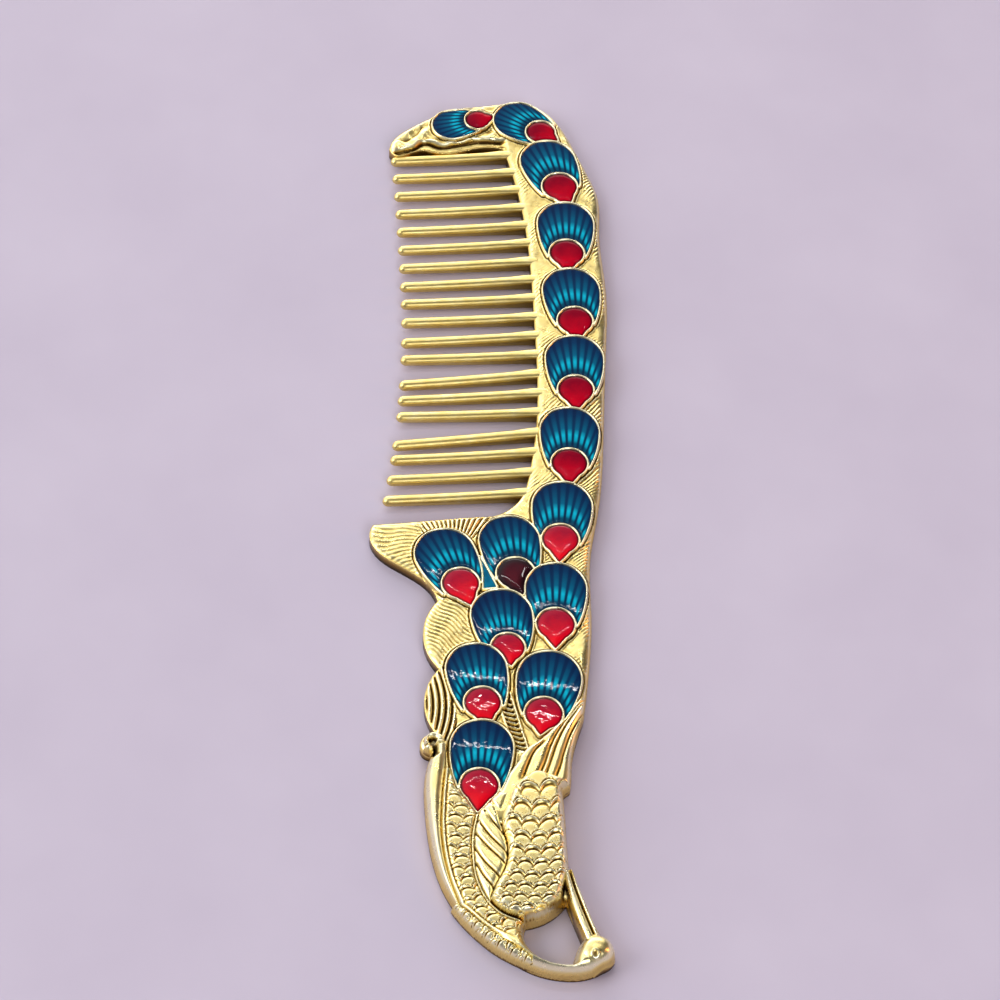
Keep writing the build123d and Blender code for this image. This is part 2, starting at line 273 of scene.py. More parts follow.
class Shell:
    """One closed mesh, gathered part by part: points, faces and a normal at each corner."""

    def __init__(self):
        self.points, self.parts, self.count = [], [], 0

    def add_points(self, x, y, z):
        """Adds points and returns the index of the first."""
        self.points.append(np.stack([x, y, np.broadcast_to(z, x.shape)], axis=1))
        self.count += len(x)
        return self.count - len(x)

    def add_faces(self, faces, normals):
        """Adds faces of one size, with a normal for each of their corners."""
        self.parts.append((faces, np.broadcast_to(normals, (*faces.shape, 3))))

    def build(self, name, **attributes):
        """The finished object; an attribute has values for the first points, and the rest are walls,
        which take the painted shade of a wall's foot.
        """
        corners = np.concatenate([faces.ravel() for faces, _ in self.parts])
        totals = np.concatenate([np.full(len(faces), faces.shape[1]) for faces, _ in self.parts])
        normals = np.concatenate([normals.reshape(-1, 3) for _, normals in self.parts])
        mesh = bpy.data.meshes.new(name)
        mesh.vertices.add(self.count)
        mesh.vertices.foreach_set("co", (np.concatenate(self.points) * MM).ravel())
        mesh.loops.add(len(corners))
        mesh.loops.foreach_set("vertex_index", corners.astype(np.int32))
        mesh.polygons.add(len(totals))
        mesh.polygons.foreach_set("loop_start", (np.cumsum(totals) - totals).astype(np.int32))
        mesh.update(calc_edges=True)
        for label, values in attributes.items():
            padding = (0, self.count - len(values))
            add_attribute(mesh, label, np.pad(values, padding, constant_values=WALL_FOOT_SHADE))
        mesh.normals_split_custom_set(normals)
        return add_object(name, mesh)


def slopes(height):
    """Unit normals of a height map, as three layers."""
    down, across = np.gradient(height, STEP)
    length = np.sqrt(across**2 + down**2 + 1)
    return -across / length, -down / length, 1 / length


def add_top(shell, patch, depth, height, layers):
    """The clipped top surface. Returns its faces' ids, their lookup, its first point and its layers."""
    shapes = clip(depth)
    ids = np.unique(np.concatenate([faces.ravel() for faces in shapes]))
    lookup = np.full(3 * depth.size, -1)
    lookup[ids] = np.arange(len(ids))
    x, y, z, nx, ny, nz, *values = place(patch, depth, ids, height, *slopes(height), *layers)
    first = shell.add_points(x, y, z)
    normals = np.stack([nx, ny, nz], axis=1)
    for faces in shapes:
        local = lookup[faces]
        shell.add_faces(first + local, normals[local])
    return shapes, lookup, first, values


def add_wall(shell, patch, depth, edges, lookup, first, level):
    """The wall from some of the top's open edges down to a level."""
    ids = np.unique(edges)
    foot = np.full(3 * depth.size, -1)
    foot[ids] = np.arange(len(ids))
    down, across = np.gradient(depth, STEP)
    x, y, ax, ay = place(patch, depth, ids, across, down)
    size = np.hypot(ax, ay) + 1e-9
    outward = np.stack([-ax / size, -ay / size, np.zeros(len(ids))], axis=1)
    base = shell.add_points(x, y, level)
    a, b = edges.T
    quads = np.stack([first + lookup[b], first + lookup[a], base + foot[a], base + foot[b]], axis=1)
    normals = outward[np.stack([foot[b], foot[a], foot[a], foot[b]], axis=1)]
    shell.add_faces(quads, normals)


def relief(name, patch, depth, height, level, **layers):
    """A closed piece: a height map clipped to depth above zero, with walls and a flat underside."""
    shell = Shell()
    shapes, lookup, first, values = add_top(shell, patch, depth, height, layers.values())
    add_wall(shell, patch, depth, open_edges(shapes), lookup, first, level)
    ids = np.unique(np.concatenate([faces.ravel() for faces in shapes]))
    under = shell.add_points(*place(patch, depth, ids), level)
    for faces in shapes:
        shell.add_faces(under + lookup[faces[:, ::-1]], (0, 0, -1))
    return shell.build(name, **dict(zip(layers, values)))


# ---- patterns ----
def smooth(low, high, value):
    """0 below low, 1 above high, and a smooth ramp between."""
    share = ((value - low) / (high - low)).clip(0, 1)
    return share * share * (3 - 2 * share)


def least(*layers):
    """The lowest of several layers, point by point."""
    return np.minimum.reduce(layers)


def rounded(depth, radius):
    """A quarter-round rise, from 0 at an edge or groove to 1 at a distance from it."""
    return np.sqrt(1 - (1 - (depth / radius).clip(0, 1)) ** 2)


def ridges(phase, sharpness=1.0):
    """Rounded ridges between narrow grooves, 0 to 1, one for each whole step of phase."""
    return np.abs(np.sin(pi * phase)) ** sharpness


def follow(patch, places):
    """Arc length along a smooth curve through places, and the signed distance to its left."""
    curve = bpy.data.curves.new("guide", "CURVE")
    curve.dimensions = "3D"
    line = curve.splines.new("BEZIER")
    spans = len(places) - 1
    line.bezier_points.add(spans)
    line.resolution_u = max(4, GUIDE_SAMPLES // spans)
    for point, spot in zip(line.bezier_points, places):
        point.co = (*spot, 0)
        point.handle_left_type = point.handle_right_type = "AUTO"
    guide = bpy.data.objects.new("guide", curve)
    mesh = bpy.data.meshes.new_from_object(guide)
    spots = np.array([vertex.co[:2] for vertex in mesh.vertices])
    bpy.data.objects.remove(guide)
    bpy.data.curves.remove(curve)
    bpy.data.meshes.remove(mesh)
    return measure(patch, spots)


def measure(patch, spots):
    """Arc length and signed distance for every lattice point, from a line's points."""
    steps = np.diff(spots, axis=0)
    lengths = np.hypot(*steps.T)
    starts = np.concatenate([[0], np.cumsum(lengths)[:-1]])
    best = np.full(patch.x.shape, 1e9)
    along = np.zeros(patch.x.shape)
    across = np.zeros(patch.x.shape)
    for spot, step, length, start in zip(spots, steps, lengths, starts):
        if length == 0:
            continue
        x, y = patch.x - spot[0], patch.y - spot[1]
        share = ((x * step[0] + y * step[1]) / length**2).clip(0, 1)
        gap = np.hypot(x - share * step[0], y - share * step[1])
        side = np.sign(step[0] * y - step[1] * x)
        nearer = gap < best
        best[nearer] = gap[nearer]
        along[nearer] = (start + share * length)[nearer]
        across[nearer] = (side * gap)[nearer]
    return along, across


def scales(across, along, width, pitch):
    """Overlapping scales, 0 to 1: each has a rim, a crescent hollow under it and a swelling below."""
    reach = 0.62 * pitch
    across = across + 0.07 * width * np.sin(1.7 * along / pitch)
    along = along + 0.10 * pitch * np.sin(2.1 * across / width)
    row = np.floor(along / pitch)
    height = np.zeros(along.shape)
    found = np.zeros(along.shape, bool)
    for shift in (-1, 0, 1):
        here = row + shift
        offset = np.where(here % 2 == 0, 0, width / 2)
        from_middle = (across - offset + width / 2) % width - width / 2
        bulge = np.sqrt((1 - (from_middle / (0.53 * width)) ** 2).clip(0, 1))
        inside = (here * pitch + reach * bulge - along) / pitch
        crescent = bulge * np.exp(-(((inside - 0.36) / 0.14) ** 2))
        crown = smooth(0.0, 0.14, inside) * (0.60 + 0.40 * bulge - 0.25 * inside) - 0.62 * crescent
        height = np.where(~found & (inside > 0), crown, height)
        found |= inside > 0
    return height


# ---- materials ----
class Nodes:
    """Short ways to make shader nodes in a new material or world."""

    def __init__(self, name, owners=bpy.data.materials, shader="Principled BSDF"):
        self.owner = owners.new(name)
        self.owner.use_nodes = True
        self.tree = self.owner.node_tree
        self.shader = self.tree.nodes[shader]

    def add(self, kind, **settings):
        """A new node, with some of its settings."""
        node = self.tree.nodes.new(kind)
        for key, value in settings.items():
            setattr(node, key, value)
        return node

    def link(self, output, socket):
        """Joins an output to an input."""
        self.tree.links.new(output, socket)

    def place(self):
        """Positions in the object's own frame, in metres."""
        return self.add("ShaderNodeTexCoord").outputs["Object"]

    def noise(self, scale, detail):
        """Noise, 0 to 1, at a scale in 1/m."""
        node = self.add("ShaderNodeTexNoise")
        self.link(self.place(), node.inputs["Vector"])
        node.inputs["Scale"].default_value = scale
        node.inputs["Detail"].default_value = detail
        node.inputs["Roughness"].default_value = 0.55
        return node.outputs["Fac"]

    def attribute(self, name):
        """A value that the mesh carries at its points."""
        return self.add("ShaderNodeAttribute", attribute_name=name).outputs["Fac"]

    def ramp(self, value, *stops):
        """A colour ramp: stops are (position, colour)."""
        node = self.add("ShaderNodeValToRGB")
        elements = node.color_ramp.elements
        while len(elements) < len(stops):
            elements.new(0.5)
        for element, (position, colour) in zip(elements, stops):
            element.position = position
            element.color = (*colour, 1)
        self.link(value, node.inputs["Fac"])
        return node.outputs["Color"]

    def mix(self, share, first, second):
        """A mix of two colours; either may be a colour or an output."""
        node = self.add("ShaderNodeMix", data_type="RGBA")
        for value, socket in ((share, 0), (first, 6), (second, 7)):
            self.feed(value, node.inputs[socket])
        return node.outputs[2]

    def math(self, operation, first, second):
        """One sum; each input may be a number or an output."""
        node = self.add("ShaderNodeMath", operation=operation)
        self.feed(first, node.inputs[0])
        self.feed(second, node.inputs[1])
        return node.outputs[0]

    def unsettle(self, value, scale, detail, amount):
        """A value moved up and down by noise."""
        swing = self.math("SUBTRACT", self.noise(scale, detail), 0.5)
        return self.math("ADD", value, self.math("MULTIPLY", swing, amount))

    def span(self, value, low, high, to_low=0.0, to_high=1.0):
        """A value's range mapped smoothly onto another."""
        node = self.add("ShaderNodeMapRange", interpolation_type="SMOOTHSTEP")
        self.link(value, node.inputs["Value"])
        ends = {"From Min": low, "From Max": high, "To Min": to_low, "To Max": to_high}
        for socket, number in ends.items():
            node.inputs[socket].default_value = number
        return node.outputs["Result"]

    def feed(self, value, socket):
        """Sets a socket to a number or colour, or links an output to it."""
        if isinstance(value, bpy.types.NodeSocket):
            self.link(value, socket)
        elif isinstance(value, tuple):
            socket.default_value = (*value, 1)
        else:
            socket.default_value = value

    def shade(self, **values):
        """Feeds the shader's sockets, named with underscores for spaces."""
        for name, value in values.items():
            self.feed(value, self.shader.inputs[name.replace("_", " ")])

    def bump(self, height, strength, distance):
        """Fine grain on the surface; distance is in metres."""
        node = self.add("ShaderNodeBump")
        node.inputs["Strength"].default_value = strength
        node.inputs["Distance"].default_value = distance
        self.link(height, node.inputs["Height"])
        self.shade(Normal=node.outputs["Normal"])


def gold_material():
    """Gilded metal with soft wear and grain: dark brown in the hollows, partly antiquing and partly
    painted shade, and a pale cream painted highlight on the crests.
    """
    nodes = Nodes("gilded_metal_painted_shade_and_highlight")
    # painted shade and highlight: the crest map runs from dark brown in the hollows to pale cream on the
    # crests
    colour = nodes.ramp(
        nodes.unsettle(nodes.attribute("crest"), 260, 4, 0.12),
        (0.04, (0.045, 0.022, 0.005)),
        (0.26, (0.36, 0.20, 0.04)),
        (0.45, (0.90, 0.69, 0.24)),
        (0.64, (0.95, 0.80, 0.36)),
        (0.90, (1.0, 0.93, 0.62)),
    )
    cloudy = nodes.span(nodes.noise(70, 3), 0.45, 0.75, 0, 0.25)
    smear = nodes.span(nodes.noise(600, 3), 0.3, 0.75, 0.25, 0.40)
    nodes.shade(Base_Color=nodes.mix(cloudy, colour, (0.86, 0.60, 0.16)), Metallic=1.0, Roughness=smear)
    nodes.bump(nodes.noise(1800, 3), 0.12, 0.00004)
    return nodes.owner


def tooth_material():
    """Gilded metal for the teeth, with painted shade on the side that each turns to the handle."""
    nodes = Nodes("gilded_teeth_painted_shade")
    colour = nodes.ramp(
        nodes.noise(420, 4),
        (0.25, (0.92, 0.70, 0.22)),
        (0.6, (0.97, 0.79, 0.32)),
        (0.8, (1.0, 0.86, 0.44)),
    )
    streaks = nodes.span(nodes.noise(90, 3), 0.5, 0.8, 0, 0.4)
    tinted = nodes.mix(streaks, colour, (0.80, 0.56, 0.15))
    shadow = nodes.math("MULTIPLY", nodes.attribute("shade"), 0.85)
    shaded = nodes.mix(shadow, tinted, (0.13, 0.075, 0.015))
    smear = nodes.span(nodes.noise(600, 3), 0.3, 0.8, 0.34, 0.46)
    nodes.shade(Base_Color=shaded, Metallic=1.0, Roughness=smear)
    nodes.bump(nodes.noise(1200, 2), 0.05, 0.00004)
    return nodes.owner


def enamel(nodes, colour, gloss):
    """The glassy finish that all the enamels share, over their own colour."""
    nodes.shade(
        Base_Color=colour,
        Roughness=nodes.span(nodes.noise(900, 2), 0.3, 0.8, 0.015, 0.04),
        Specular_IOR_Level=gloss,
        Coat_Weight=0.03,
        Coat_Roughness=0.02,
    )
    return nodes.owner


def fan_material():
    """Translucent blue enamel over engraved ribs: navy at the edge, cyan where the ribs run in; the
    bright cyan band is partly the enamel's colour and partly a painted highlight.
    """
    nodes = Nodes("blue_enamel")
    along = nodes.unsettle(nodes.attribute("along"), 500, 3, 0.10)
    # partly painted highlight: the bright cyan band from 0.68 to 0.80 stands in part for light that the
    # ribs reflect
    crest = nodes.ramp(
        along,
        (0.0, (0.001, 0.024, 0.085)),
        (0.15, (0.001, 0.036, 0.110)),
        (0.34, (0.001, 0.075, 0.165)),
        (0.52, (0.001, 0.125, 0.240)),
        (0.68, (0.003, 0.480, 0.680)),
        (0.80, (0.001, 0.360, 0.540)),
        (0.88, (0.001, 0.075, 0.145)),
        (1.0, (0.001, 0.036, 0.080)),
    )
    groove = nodes.ramp(
        along,
        (0.0, (0.001, 0.012, 0.060)),
        (0.5, (0.001, 0.036, 0.105)),
        (1.0, (0.001, 0.018, 0.055)),
    )
    nodes.bump(nodes.noise(900, 1), 0.40, 0.00002)
    return enamel(nodes, nodes.mix(nodes.span(nodes.attribute("rib"), 0.30, 0.95), groove, crest), 0.10)


def eye_material(name, upper, lower, rim, gloss):
    """Translucent red enamel: one red towards the fan, another towards the tip, and a dark edge."""
    nodes = Nodes(name)
    along = nodes.unsettle(nodes.attribute("along"), 600, 3, 0.35)
    body = nodes.ramp(along, (0.25, upper), (0.7, lower))
    darkness = nodes.span(nodes.attribute("edge"), 0.0, rim, 0.95, 0.0)
    nodes.bump(nodes.noise(1100, 0), 0.5, 0.00003)
    return enamel(nodes, nodes.mix(darkness, body, (0.10 * upper[0], 0.0, 0.002)), gloss)


def filler_material():
    """Plain teal enamel between the feathers, with a cloudy tone."""
    nodes = Nodes("teal_enamel")
    cloudy = nodes.ramp(nodes.noise(800, 3), (0.3, (0.002, 0.10, 0.20)), (0.7, (0.002, 0.19, 0.33)))
    return enamel(nodes, cloudy, 0.10)


def floor_material():
    """Pale, faintly mottled paper for the floor."""
    nodes = Nodes("pale_floor")
    mottled = nodes.ramp(nodes.noise(30, 3), (0.3, (0.57, 0.51, 0.64)), (0.7, (0.61, 0.55, 0.68)))
    nodes.shade(Base_Color=mottled, Roughness=0.8)
    return nodes.owner


GOLD = gold_material()
TOOTH_GOLD = tooth_material()
BLUE = fan_material()
RED = eye_material("red_enamel", (0.38, 0.0, 0.025), (0.85, 0.0, 0.012), 0.45, 0.30)
CRIMSON = eye_material("crimson_enamel", (0.24, 0.0, 0.015), (0.58, 0.0, 0.015), 0.55, 0.06)
# painted dark reflection: red enamel painted nearly black for the one eye that reflects something dark
RED_PAINTED_DARK_REFLECTION = eye_material("dark_red_enamel", (0.06, 0.0, 0.008), (0.12, 0.0, 0.01), 2.2, 0.30)
TEAL = filler_material()


def finish_piece(piece, material, slot, *nodes):
    """Gives a piece its material and body, and hides the CAD nodes that it stands for; slot is not used.
    """
    piece.data.materials.append(material)
    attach(piece, "root")
    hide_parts(*nodes)


# ---- the casting ----
def edge_fall(patch, shape):
    """How far the casting falls towards its outline: further on the right and round the bird."""
    drop = 0.45 + 0.95 * smooth(10.5, 12.5, patch.x) + 1.75 * smooth(-46.0, -54.0, patch.y)
    return drop.clip(0, 2.2) * (1 - rounded(shape, 1.1 + 0.5 * smooth(0.5, 1.4, drop)))


def crest_of(height, spread):
    """How far a height map stands above its own surroundings, 0 in hollows to 1 on crests."""
    blurred = height.copy()
    for _ in range(spread):
        padded = np.pad(blurred, 1, mode="edge")
        beside_it = padded[:-2, 1:-1] + padded[2:, 1:-1] + padded[1:-1, :-2] + padded[1:-1, 2:]
        blurred = (2 * blurred + beside_it) / 6
    return (0.5 + (height - blurred) / 0.22).clip(0, 1)


def even_edge(crest, shape):
    """The crest map with an even tone along an outline, so that its walls are not streaky."""
    share = smooth(0.45, 0.1, shape)
    return crest * (1 - share) + EDGE_TONE * share


def beside(patch, curve):
    """Distance to the left of a smooth curve drawn through places, negative to its right."""
    return follow(patch, curve)[1]


def nearest(patch, curves):
    """Distance to the nearest of several curves."""
    return least(*(np.abs(beside(patch, curve)) for curve in curves))


def within(patch, left, right, low, high, blur=0.6):
    """1 inside a rectangle and 0 outside it, with a soft border."""
    across = smooth(left - blur, left, patch.x) * smooth(right + blur, right, patch.x)
    return across * smooth(low - blur, low, patch.y) * smooth(high + blur, high, patch.y)


def hammered(patch):
    """Faint unevenness, as a cast and polished surface has."""
    x, y = patch.x, patch.y
    slow = np.sin(1.3 * x + 0.9 * np.sin(0.8 * y)) * np.sin(1.1 * y + 0.7 * np.sin(0.9 * x))
    quick = np.sin(3.1 * x + 1.7 * y + np.sin(1.9 * y)) * np.sin(2.7 * y - 1.3 * x)
    return 0.035 * slow + 0.018 * quick


def spine_hatch(patch):
    """Fine slanted strokes on the ground beside the feathers of the spine."""
    stroke = (patch.y - 0.9 * patch.x + 0.5 * np.sin(0.5 * patch.y)) / 0.75
    strength = 0.5 + 0.5 * np.sin(0.45 * patch.y + 0.8 * np.sin(patch.x))
    return (0.09 + 0.04 * smooth(11.5, 13.5, patch.x)) * strength * ridges(stroke)


def guard_lines(patch):
    """The lower guard: fine lines that run from the feather out to the guard's tip."""
    zone = within(patch, -24, -13.2, -16, -3)
    fan = np.arctan2(patch.y + 8.0, -patch.x + 2.0)
    return zone * 0.075 * ridges(fan * 24 + 0.25 * np.sin(0.9 * patch.x))


def guard_rays(patch):
    """Deep short rays between the two highest feathers of the handle and the edge by the teeth."""
    zone = smooth(-13.6, -12.8, patch.x) * smooth(-0.5, -1.5, patch.x) * smooth(-9.0, -7.5, patch.y)
    turn = np.arctan2(patch.x + 8.2, patch.y + 13.5)
    return zone * (0.36 * ridges(turn / 0.088, 0.9) - 0.26)


def lobe_waves(patch):
    """The upper lobe: wavy lines that slant down to the right."""
    zone = smooth(-4.5, -6, patch.x) * within(patch, -20, 0, -34.2, -20.8, 0.3)
    slant = patch.y + 0.85 * patch.x + 0.45 * np.sin(0.9 * patch.x - 0.5 * patch.y)
    return zone * (0.12 * ridges(slant / 0.95) - 0.02)


def lobe_reeds(patch):
    """The lower lobe: bowed reeds with deep gaps, closer together towards the outside."""
    zone = smooth(-8.6, -9.4, patch.x) * within(patch, -20, 0, -48.5, -34.4, 0.3)
    bow = patch.x + 0.028 * (patch.y + 40) ** 2 + 0.05 * (patch.y + 40)
    return zone * (0.55 * ridges(bow / 1.05, 1.2) - 0.42)


def ladder(patch):
    """Slanted rungs in the deep gap between the two lowest pairs of feathers."""
    middle = 0.3 - 0.22 * (patch.y + 46)
    offset = np.abs(patch.x - middle)
    zone = within(patch, -4, 6, -50.6, -38.6, 0.4)
    rungs = ridges((patch.y + 0.30 * patch.x) / 0.86, 2.6)
    frame = 0.30 * smooth(0.30, 0.0, np.abs(offset - 1.15))
    return zone * (smooth(1.0, 0.8, offset) * (0.75 * rungs - 0.85) + frame)


def curl_gap(patch):
    """The slot between the scroll's curl and its band, deep enough that the crest map paints it dark
    brown as painted shade.
    """
    across, along = patch.x + 12.85, patch.y + 50.2
    return -0.9 * smooth(1.0, 0.5, np.hypot(across / 0.5, along / 1.3))


GUARD_FOLD = (
    (-15.6, 79.4), (-13.8, 80.2), (-11.4, 81.0), (-9.4, 82.2),
    (-6.2, 81.3), (-3.0, 81.9), (0.2, 82.6), (6.5, 82.2),
)
GUARD_CREASES = (
    ((-14.6, 82.6), (-12.6, 82.4), (-10.8, 83.8), (-9.6, 85.6)),
    ((-8.8, 83.0), (-6.4, 82.6), (-2.4, 82.8), (1.2, 84.6), (4.4, 84.2)),
    ((0.8, 83.6), (2.6, 84.9), (4.8, 83.2)),
)


def guard_leaf(patch):
    """The top guard: a folded leaf with lumps and creases, and a thin ledge under its fold."""
    zone = smooth(6.2, 4.6, patch.x) * smooth(78.0, 79.5, patch.y)
    fold = beside(patch, GUARD_FOLD)
    ledge = -0.80 * smooth(0.35, -0.35, fold) - 0.15 * smooth(0.5, 0, np.abs(fold + 0.1))
    creases = 0.26 * rounded(nearest(patch, GUARD_CREASES), 1.6) - 0.16
    lumps = 0.16 * np.sin(1.9 * patch.x + 0.6 * np.sin(patch.y)) * np.sin(1.5 * patch.y + 0.8)
    return zone * (ledge + (creases + lumps) * smooth(-0.2, 0.6, fold))


# Each kind of chasing, with the rectangle that it lies in: left, right, low, high
CHASED = (
    (spine_hatch, (-3, 24, -36, 78)),
    (guard_lines, (-24, -12, -18, -2)),
    (guard_rays, (-15, 1, -10, -2)),
    (lobe_waves, (-17, -3, -36, -20)),
    (lobe_reeds, (-17, -7, -50, -33)),
    (ladder, (-4, 6, -53, -37)),
    (curl_gap, (-15, -11, -53, -47)),
    (guard_leaf, (-18, 7, 76, 92)),
)


def ground_texture(patch):
    """Everything that is chased into the casting's ground, in millimetres above the plate."""
    texture = hammered(patch)
    for shape, rectangle in CHASED:
        part = patch.box(*rectangle)
        texture[part] += shape(patch.crop(part))
    return texture


def casting_height(patch, shape, pockets):
    """The casting's top: a rounded plate, its chased ground, and wires round the pockets."""
    away = -pockets
    ground = PLATE_TOP - edge_fall(patch, shape)
    ground += ground_texture(patch) * smooth(0.42, 0.62, away) * smooth(0.05, 0.6, shape)
    ground += 0.10 * smooth(0.22, 0.0, np.abs(away - 0.80))  # a low second wire
    ground -= 0.08 * smooth(0.14, 0.0, np.abs(away - 0.54))  # the groove between the two
    share = ((away - WIRE_MIDDLE) / WIRE_HALF).clip(-1, 1)
    wire = PLATE_TOP - 0.1 + 1.15 * (RIM_TOP - PLATE_TOP + 0.06) * np.sqrt(1 - share**2)
    return np.where(away < WIRE_MIDDLE + WIRE_HALF, np.maximum(ground, wire), ground)


def make_casting_half(name, part, shape, pockets, height, crest):
    """One closed half of the casting, from its chased top down to its flat back."""
    metal = np.minimum(shape, -pockets)
    shell = Shell()
    shapes, lookup, first, values = add_top(shell, part, metal, height, [crest])
    edges = open_edges(shapes)
    ids = np.unique(edges)
    in_pocket = np.zeros(3 * metal.size, bool)
    in_pocket[ids] = np.abs(place(part, metal, ids, pockets)[2]) < 0.05
    walls = in_pocket[edges].all(axis=1)
    add_wall(shell, part, metal, edges[walls], lookup, first, CELL_FLOOR)
    for line in outlines(part, pockets):
        add_cap(shell, [line], CELL_FLOOR, 1)
    add_wall(shell, part, metal, edges[~walls], lookup, first, 0)
    add_cap(shell, outlines(part, shape), 0, -1)
    return shell.build(name, crest=values[0])


def outlines(patch, depth):
    """The closed lines of points where depth is zero."""
    loops = loops_of(open_edges(clip(depth)))
    return [np.stack(place(patch, depth, np.array(loop)), axis=1) for loop in loops]


def add_cap(shell, lines, level, direction):
    """A flat face over closed lines of points, facing up or down."""
    points = np.concatenate(lines)
    first = shell.add_points(points[:, 0], points[:, 1], level)
    polylines = [[Vector((*point, 0)) for point in line] for line in lines]
    triangles = np.array(tessellate_polygon(polylines))
    a, b, c = (points[triangles[:, k]] for k in range(3))
    turn = (b - a)[:, 0] * (c - a)[:, 1] - (b - a)[:, 1] * (c - a)[:, 0]
    triangles = np.where((turn * direction < 0)[:, None], triangles[:, ::-1], triangles)
    shell.add_faces(first + triangles[np.abs(turn) > 1e-7], (0, 0, direction))


ENAMELS = [name for name in NODES if name.endswith("_enamel") or "_enamel_" in name]


def make_casting():
    """The gilded casting, in two meshes that meet on one row of the lattice."""
    patch = patch_round(lowest("comb_frame"), highest("comb_frame"))
    shape = patch.depth(outline_of("comb_frame", 0))
    cells = [outline_of(name, ENAMEL_TOP) for name in ENAMELS]
    pockets = patch.depth(np.concatenate(cells))
    height = casting_height(patch, shape, pockets)
    # painted highlight: the wires round the enamel are set to the top of the crest map, which paints them
    # pale cream
    crest = even_edge(np.maximum(crest_of(height, 12), smooth(0.40, 0.30, -pockets)), shape)
    split = round((SPLIT_Y - patch.bottom) / STEP)
    for name, rows in (("handle_casting", slice(split + 1)), ("spine_casting", slice(split, None))):
        layers = (layer[rows] for layer in (shape, pockets, height, crest))
        half = make_casting_half(name, patch.crop(rows), *layers)
        finish_piece(half, GOLD, "gold_plate", "comb_frame")


# ---- enamel ----
# For each feather, from the top guard down: the way its tip points, in degrees, and its eye's radius
HEADINGS = (14, -36, -74, -92, -88, -92, -94, -96, -84, -94, -69, -84, -101, -84, -96)
EYE_RADII = (2.2, 2.6, 3.1, 3.0, 3.0, 3.0, 3.0, 3.0, 3.1, 3.1, 3.0, 2.7, 3.0, 2.9, 3.0)
RIB_PITCH = radians(5.2)  # between neighbouring ribs, seen from the feather's tip
TIP_AT = 2.13  # eye radii from the eye's centre to the feather's tip
FAN_AT = 2.33  # eye radii from the eye's centre to the fan's
FAN_RADIUS = 1.67  # the fan's radius in eye radii
FIRST_BRIGHT_EYE = 8  # the eyes above this one are crimson
# this eye is painted nearly black, a painted reflection of something dark over its red enamel
EYE_WITH_PAINTED_DARK_REFLECTION = 9


def eye_centre(number):
    """The centre of a feather's eye, from the arc that the fan's edge makes round it."""
    fan = outline_of(f"fan_enamel_{number:02d}", ENAMEL_TOP).reshape(-1, 2)
    eye = outline_of(f"eye_enamel_{number:02d}", ENAMEL_TOP).reshape(-1, 2)
    gaps = np.hypot(fan[:, None, 0] - eye[None, :, 0], fan[:, None, 1] - eye[None, :, 1]).min(axis=1)
    arc = fan[gaps < 0.6]
    terms = np.column_stack([2 * arc, np.ones(len(arc))])
    return np.linalg.lstsq(terms, (arc**2).sum(axis=1), rcond=None)[0][:2]


def enamel_patch(node):
    """A node's patch and depth."""
    patch = patch_round(lowest(node), highest(node))
    return patch, patch.depth(outline_of(node, ENAMEL_TOP))


def feather_axis(patch, number):
    """How far lattice points lie from an eye's centre, ahead to its tip and to the side, in eye radii."""
    centre = eye_centre(number)
    radius = EYE_RADII[number - 1]
    heading = radians(HEADINGS[number - 1])
    x, y = (patch.x - centre[0]) / radius, (patch.y - centre[1]) / radius
    return x * cos(heading) + y * sin(heading), x * sin(heading) - y * cos(heading)


def far_side(angle, middle, radius):
    """How far along a ray from the feather's tip a circle on its axis ends."""
    return middle * np.cos(angle) + np.sqrt((radius**2 - (middle * np.sin(angle)) ** 2).clip(0.001))


def make_fan(number):
    """A fan of ribbed blue enamel; its ribs run in towards the feather's tip."""
    node = f"fan_enamel_{number:02d}"
    patch, depth = enamel_patch(node)
    ahead, side = feather_axis(patch, number)
    radius = EYE_RADII[number - 1]
    angle = np.arctan2(side, TIP_AT - ahead)
    outer = far_side(angle, TIP_AT + FAN_AT, FAN_RADIUS)
    inner = far_side(angle, TIP_AT, 1 + 0.4 / radius)
    along = ((outer - np.hypot(TIP_AT - ahead, side)) / (outer - inner)).clip(0, 1)
    rib = ridges(angle / RIB_PITCH + 0.5)
    from_middle = radius * np.hypot(side, FAN_AT + ahead)
    height = ENAMEL_TOP - 0.14 + 0.12 * rounded(depth, 0.35) - 0.004 * from_middle**2 + 0.003 * rib
    piece = relief(f"fan_{number:02d}", patch, depth, height, CELL_FLOOR, along=along, rib=rib)
    finish_piece(piece, BLUE, "blue_enamel", node)


def make_eye(number):
    """A domed red eye below its fan."""
    node = f"eye_enamel_{number:02d}"
    patch, depth = enamel_patch(node)
    along = 0.4 + 0.3 * feather_axis(patch, number)[0]
    dome = 0.22 * (1 - (1 - (depth / 1.5).clip(0, 1)) ** 2)
    height = ENAMEL_TOP - 0.15 + dome
    piece = relief(f"eye_{number:02d}", patch, depth, height, CELL_FLOOR, along=along, edge=depth)
    material = RED_PAINTED_DARK_REFLECTION if number == EYE_WITH_PAINTED_DARK_REFLECTION else CRIMSON if number < FIRST_BRIGHT_EYE else RED
    finish_piece(piece, material, "red_enamel", node)


def make_filler():
    """The small teal cell between three feathers."""
    patch, depth = enamel_patch("filler_enamel")
    height = ENAMEL_TOP - 0.2 + 0.1 * rounded(depth, 0.3)
    piece = relief("filler", patch, depth, height, CELL_FLOOR)
    finish_piece(piece, TEAL, "blue_enamel", "filler_enamel")


